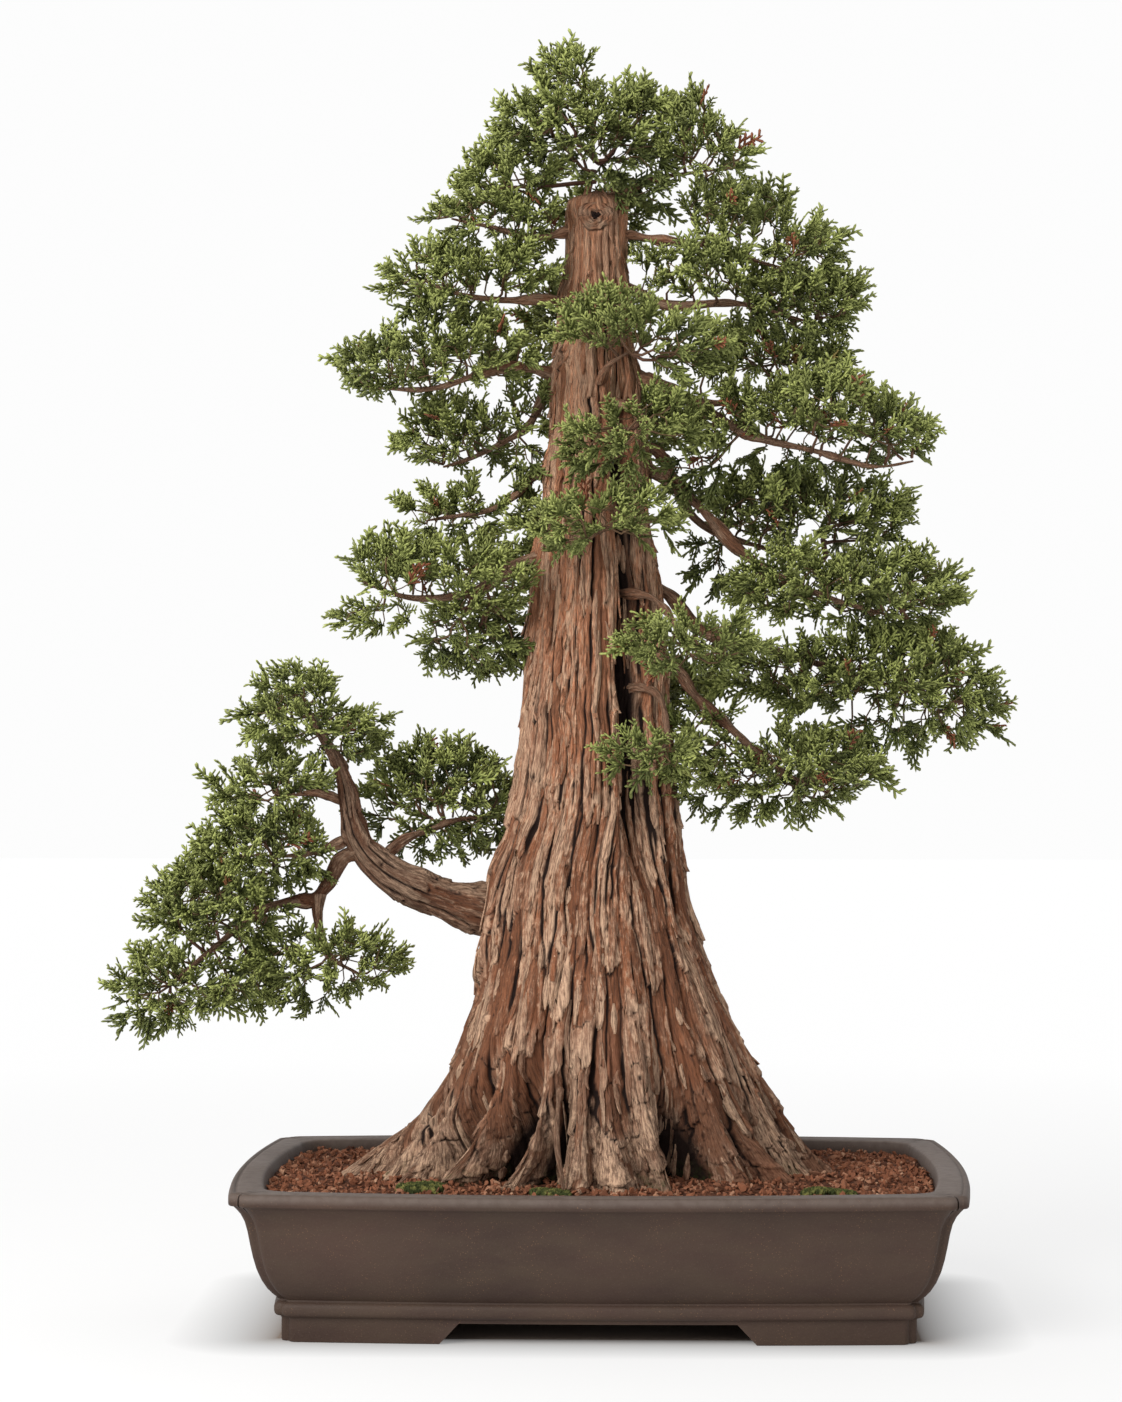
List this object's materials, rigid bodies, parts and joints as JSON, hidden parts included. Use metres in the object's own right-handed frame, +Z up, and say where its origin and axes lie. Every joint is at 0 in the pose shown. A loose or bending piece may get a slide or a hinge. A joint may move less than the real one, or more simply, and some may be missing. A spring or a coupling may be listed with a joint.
{
  "type": "bonsai tree in a pot",
  "caption": "Juniper bonsai with a wide flared trunk, flat foliage pads and one low left branch, in a bowed rectangular clay pot with stepped corners and feet.",
  "frame": {"origin": "on the ground, under the middle of the whole plant's box", "axes": "+Z up; +Y towards the back; +X towards the long right-hand branches, away from the low left branch"},
  "size_m": [0.5786, 0.3428, 0.814],
  "materials": {
    "clay": "unglazed, matt",
    "netting": "matt",
    "soil": "loose grains",
    "moss": "soft",
    "bark": "fibrous bark",
    "foliage": "scale leaves, satin"
  },
  "bodies": {
    "root": {"pot": "clay", "drain_mesh_left": "netting", "drain_mesh_right": "netting", "soil": "soil", "trunk": "bark", "moss_left": "moss", "moss_front": "moss", "moss_right": "moss", "branch_left_1": "bark", "branch_left_2": "bark", "branch_left_3": "bark", "branch_left_4": "bark", "branch_left_5": "bark", "branch_left_6": "bark", "branch_crown_right": "bark", "branch_right_1": "bark", "branch_right_2": "bark", "branch_right_3": "bark", "branch_right_4": "bark", "branch_right_5": "bark", "branch_right_6": "bark", "branch_right_7": "bark", "branch_right_8": "bark", "branch_low_rising": "bark", "branch_low_falling": "bark", "foliage_crown": "foliage", "foliage_crown_left": "foliage", "foliage_left_1": "foliage", "foliage_left_2": "foliage", "foliage_left_3": "foliage", "foliage_left_4": "foliage", "foliage_left_5": "foliage", "foliage_left_6": "foliage", "foliage_crown_right": "foliage", "foliage_right_1": "foliage", "foliage_right_2": "foliage", "foliage_right_3": "foliage", "foliage_right_4": "foliage", "foliage_right_5": "foliage", "foliage_right_6": "foliage", "foliage_right_7": "foliage", "foliage_right_8": "foliage", "foliage_front_1": "foliage", "foliage_front_2": "foliage", "foliage_front_3": "foliage", "foliage_front_4": "foliage", "foliage_front_5": "foliage", "foliage_back_1": "foliage", "foliage_back_2": "foliage", "foliage_back_3": "foliage", "foliage_back_4": "foliage", "foliage_back_5": "foliage", "foliage_low_apex": "foliage", "foliage_low_middle": "foliage", "foliage_low_shoulder": "foliage", "foliage_low_fall": "foliage", "foliage_low_tip": "foliage", "foliage_low_inner": "foliage", "foliage_low_rear": "foliage"}
  },
  "joints": []
}
